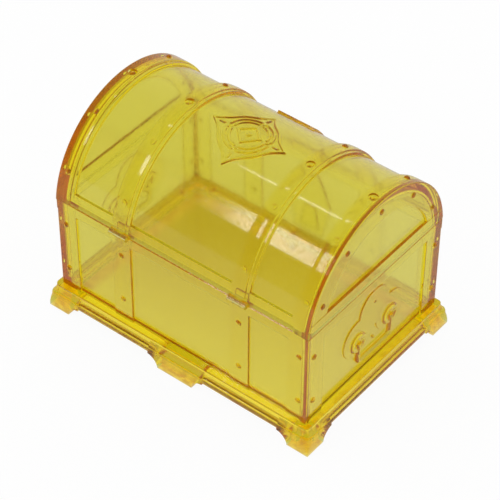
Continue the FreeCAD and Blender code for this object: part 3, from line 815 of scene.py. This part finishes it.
def paper_colour(tree, place, path):
    """The paper's colour: white, greyer through the plastic, with painted amber light and shade under
    the chest.
    """
    split = tree.nodes.new("ShaderNodeSeparateXYZ")
    tree.links.new(place.outputs["Object"], split.inputs[0])
    passed = path.outputs["Is Transmission Ray"]
    # Painted amber shade under the chest: paler near the viewer, deeper at the far side and at the left.
    depth = spread(tree, split.outputs["Y"], (-SHADE_Y, SHADE_Y))
    left = math_node(tree, "MULTIPLY", spread(tree, split.outputs["X"], LEFT_LIMITS), depth)
    shade = mixed(tree, left, mixed(tree, depth, SHADE_NEAR, SHADE_FAR), SHADE_LEFT)
    # Patches of painted light and shade on the paper in the skirt round the chest, seen through the
    # plastic.
    patches = spread(tree, noise(tree, place, PATCH_SCALE, PATCH_DETAIL), PATCH_LIMITS)
    painted_skirt_light = mixed(tree, patches, SKIRT_PAINTED_SHADE, SKIRT_PAINTED_LIGHT)
    skirt = math_node(tree, "MULTIPLY", passed, within(tree, split, SKIRT_X, SKIRT_Y))
    around = mixed(tree, skirt, mixed(tree, passed, WHITE, THROUGH), painted_skirt_light)
    return mixed(tree, within(tree, split, SHADE_X, SHADE_Y), around, shade)


def white_paper():
    """Matt white paper that looks evenly white where it is seen, but for the painted light and shade
    under the chest.
    """
    paper = bpy.data.materials.new("white_paper")
    paper.use_nodes = True
    tree = paper.node_tree
    nodes, links = tree.nodes, tree.links
    shader = nodes["Principled BSDF"]
    shader.inputs["Base Color"].default_value = PAPER
    shader.inputs["Roughness"].default_value = PAPER_ROUGHNESS
    shader.inputs["Specular IOR Level"].default_value = 0
    place = nodes.new("ShaderNodeTexCoord")
    path = nodes.new("ShaderNodeLightPath")
    glow = nodes.new("ShaderNodeEmission")
    # The glow's colour holds the painted amber light and shade under the chest.
    links.new(paper_colour(tree, place, path), glow.inputs["Color"])
    loss = math_node(tree, "MULTIPLY", mirrored(tree, path), MIRRORED_LOSS)
    links.new(math_node(tree, "SUBTRACT", 1, loss), glow.inputs["Strength"])
    mix = nodes.new("ShaderNodeMixShader")
    links.new(math_node(tree, "MULTIPLY", seen_directly(tree, path), PAPER_GLOW), mix.inputs["Fac"])
    links.new(shader.outputs[0], mix.inputs[1])
    links.new(glow.outputs[0], mix.inputs[2])
    links.new(mix.outputs[0], nodes["Material Output"].inputs["Surface"])
    return paper


def build_floor():
    """A sheet of white paper under the chest."""
    bm = bmesh.new()
    bmesh.ops.create_grid(bm, x_segments=1, y_segments=1, size=FLOOR_HALF)
    mesh = bpy.data.meshes.new("floor")
    bm.to_mesh(mesh)
    bm.free()
    floor = bpy.data.objects.new("floor", mesh)
    floor.location.z = FLOOR_LIFT
    bpy.context.scene.collection.objects.link(floor)
    mesh.materials.append(white_paper())


def build_world():
    """Even light from all round, which the plastic mirrors as pale behind and dark in front."""
    world = bpy.data.worlds.new("studio")
    bpy.context.scene.world = world
    world.use_nodes = True
    tree = world.node_tree
    nodes, links = tree.nodes, tree.links
    place = nodes.new("ShaderNodeTexCoord")
    side = nodes.new("ShaderNodeVectorMath")
    side.operation = "DOT_PRODUCT"
    side.inputs[1].default_value = BACKDROP_SIDE
    links.new(place.outputs["Generated"], side.inputs[0])
    backdrop = nodes.new("ShaderNodeValToRGB")
    first, last = backdrop.color_ramp.elements
    between = [backdrop.color_ramp.elements.new(share) for share, _ in BACKDROP[1:-1]]
    for stop, (share, shade) in zip([first, *between, last], BACKDROP):
        stop.position = share
        stop.color = (shade, shade, shade, 1)
    links.new(spread(tree, side.outputs["Value"], (-1, 1)), backdrop.inputs["Fac"])
    split = nodes.new("ShaderNodeSeparateXYZ")
    links.new(place.outputs["Generated"], split.inputs[0])
    path = nodes.new("ShaderNodeLightPath")
    above = math_node(tree, "MULTIPLY", spread(tree, split.outputs["Z"], CEILING),
                      path.outputs["Is Transmission Ray"])
    around = mixed(tree, above, SKY, SKY_ABOVE)
    level = mixed(tree, mirrored(tree, path), around, backdrop.outputs["Color"])
    links.new(level, nodes["Background"].inputs["Color"])
    nodes["Background"].inputs["Strength"].default_value = 1


def build_lamps():
    """Soft lamps, which the lid reflects as two streaks."""
    for name, place, size, power in LAMPS:
        lamp = bpy.data.lights.new(name, "AREA")
        lamp.shape = "RECTANGLE"
        lamp.size, lamp.size_y = size
        lamp.energy = power
        holder = bpy.data.objects.new(name, lamp)
        holder.location = place
        holder.visible_transmission = False
        back = (Vector(place) - LAMP_AIM).normalized()
        up = back.cross(Vector((1, 0, 0))).normalized()
        holder.rotation_euler = Matrix((up.cross(back), up, back)).transposed().to_euler()
        bpy.context.scene.collection.objects.link(holder)


def build_camera():
    """The camera at the photo's viewing angle."""
    lens = bpy.data.cameras.new("camera")
    lens.lens = LENS
    lens.sensor_width = SENSOR
    holder = bpy.data.objects.new("camera", lens)
    holder.location = CAMERA_PLACE
    holder.rotation_euler = Euler([math.radians(turn) for turn in CAMERA_TURNS])
    bpy.context.scene.collection.objects.link(holder)
    bpy.context.scene.camera = holder


plastic = amber_plastic()
for piece, node, body in ((build_base(), "base_box", "base"), (build_lid(), "lid", "lid")):
    piece.name = node + "_moulding"
    piece.data.materials.clear()
    piece.data.materials.append(plastic)
    finish_mesh(piece)
    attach(piece, body)
    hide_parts(node)
for node in ("hinge_pin_left", "hinge_pin_right"):
    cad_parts[node].material_slots[0].material = plastic
build_floor()
build_world()
build_lamps()
build_camera()
bpy.context.scene.view_settings.view_transform = "Standard"
bpy.context.scene.cycles.max_bounces = LONG_PATH
bpy.context.scene.cycles.transmission_bounces = LONG_PATH
bpy.context.scene.cycles.glossy_bounces = MIRROR_PATH
bpy.context.scene.cycles.volume_bounces = HAZE_PATH
